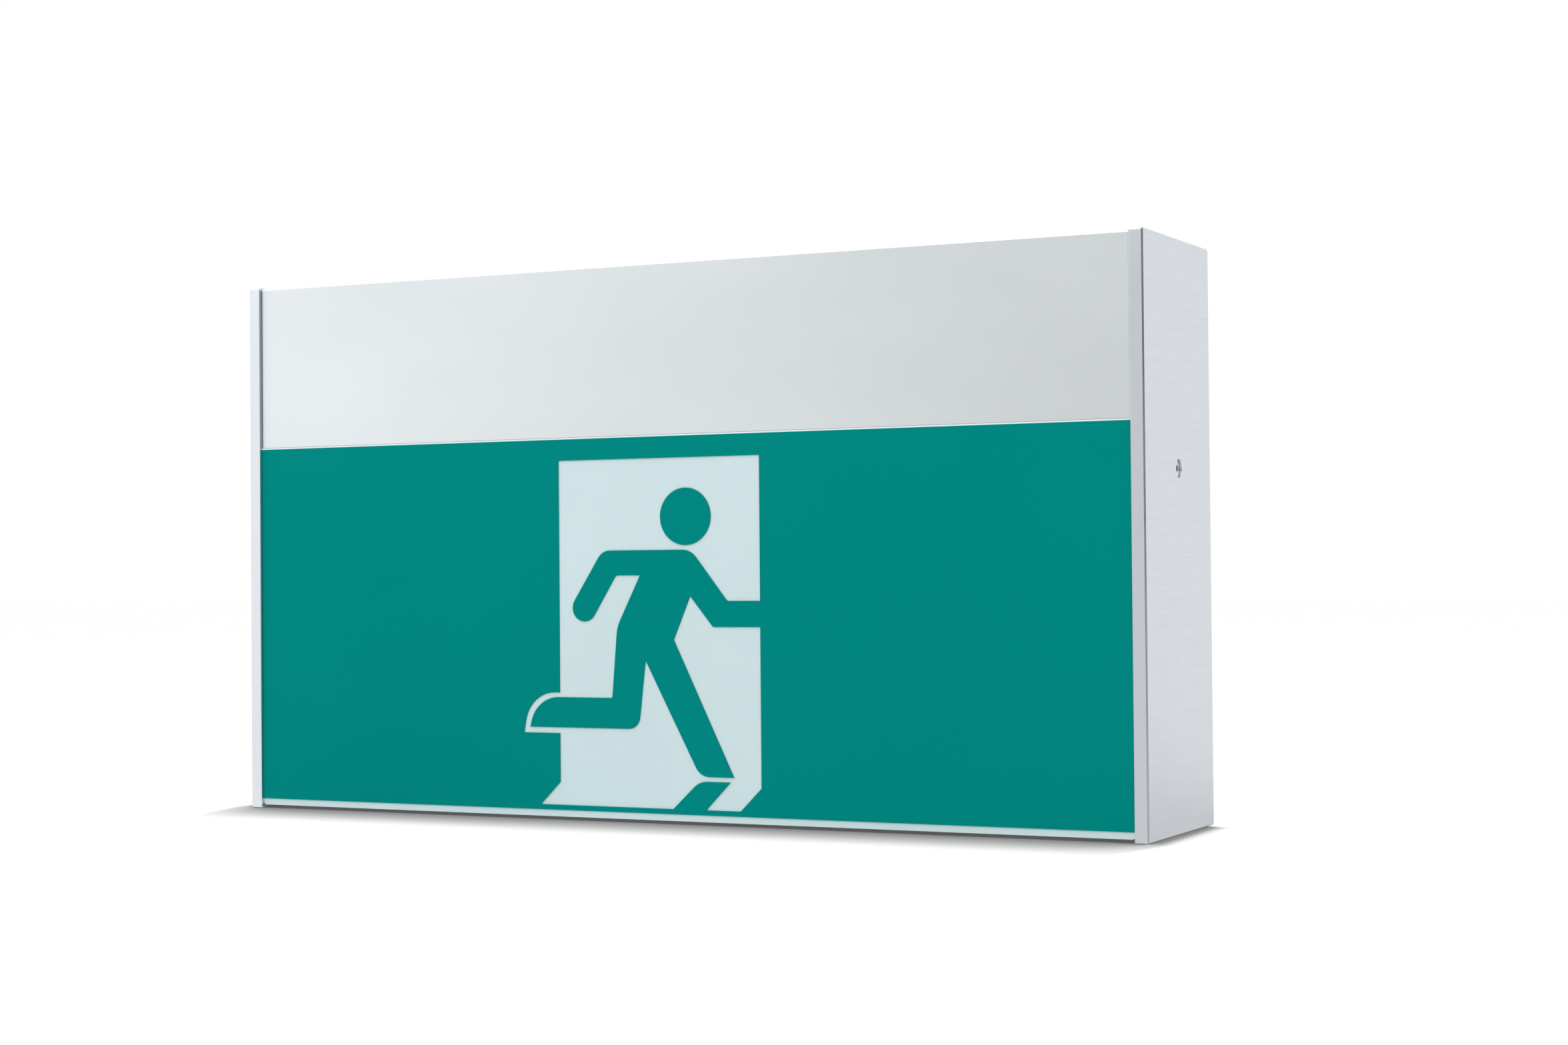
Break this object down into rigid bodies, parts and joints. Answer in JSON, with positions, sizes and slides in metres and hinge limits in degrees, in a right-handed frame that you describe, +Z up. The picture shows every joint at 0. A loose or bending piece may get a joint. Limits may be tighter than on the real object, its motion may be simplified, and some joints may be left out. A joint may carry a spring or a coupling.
{
  "type": "emergency exit light",
  "caption": "Slim box emergency exit light in anodised aluminium, with a lit green running-figure legend, end caps, a wall-fixing back and an underside test button.",
  "frame": {"origin": "middle of the part's length and depth, on the plane that the end caps' lower edges stand on", "axes": "+X along the housing towards the end cap by the test button, +Y towards the wall, so that the legend faces -Y, +Z up"},
  "size_m": [0.35, 0.068, 0.194],
  "materials": {
    "housing_profile": "satin anodised extrusion",
    "front_cover": "satin anodised sheet",
    "end_cap_left": "satin anodised, brushed across",
    "end_cap_right": "satin anodised, brushed across",
    "end_cap_screws": "zinc plated",
    "diffuser": "opal",
    "legend_film": "green translucent film",
    "reflector": "matt white",
    "led_board": "white solder mask",
    "led_chips": "phosphor yellow",
    "led_board_screws": "zinc plated",
    "gear_tray": "galvanised",
    "tray_screws": "zinc plated",
    "control_gear": "moulded",
    "gear_screws": "zinc plated",
    "terminal_block": "moulded",
    "terminal_screws": "plated",
    "earth_screw": "plain",
    "cable_grommet": "matt black",
    "battery_pack": "shrunk sleeve",
    "battery_clips": "moulded",
    "base_screws": "zinc plated",
    "switch_holder": "moulded",
    "test_board": "green solder mask",
    "test_switch": "moulded",
    "test_button": "moulded, light grey",
    "status_led": "clear green",
    "status_lens": "clear green"
  },
  "bodies": {
    "housing": {"housing_profile": "housing_profile", "front_cover": "front_cover", "end_cap_left": "end_cap_left", "end_cap_right": "end_cap_right", "end_cap_screws": "end_cap_screws", "diffuser": "diffuser", "legend_film": "legend_film", "reflector": "reflector", "led_board": "led_board", "led_chips": "led_chips", "led_board_screws": "led_board_screws", "gear_tray": "gear_tray", "tray_screws": "tray_screws", "control_gear": "control_gear", "gear_screws": "gear_screws", "terminal_block": "terminal_block", "terminal_screws": "terminal_screws", "earth_screw": "earth_screw", "cable_grommet": "cable_grommet", "battery_pack": "battery_pack", "battery_clips": "battery_clips", "base_screws": "base_screws", "switch_holder": "switch_holder", "test_board": "test_board", "test_switch": "test_switch", "status_led": "status_led", "status_lens": "status_lens"},
    "button": {"test_button": "test_button"}
  },
  "joints": [
    {"name": "test_press", "type": "slide", "parent": "housing", "child": "button", "axis": [0, 0, 1], "range_m": [0, 0.0012], "stiffness_N_per_m": 300}
  ]
}
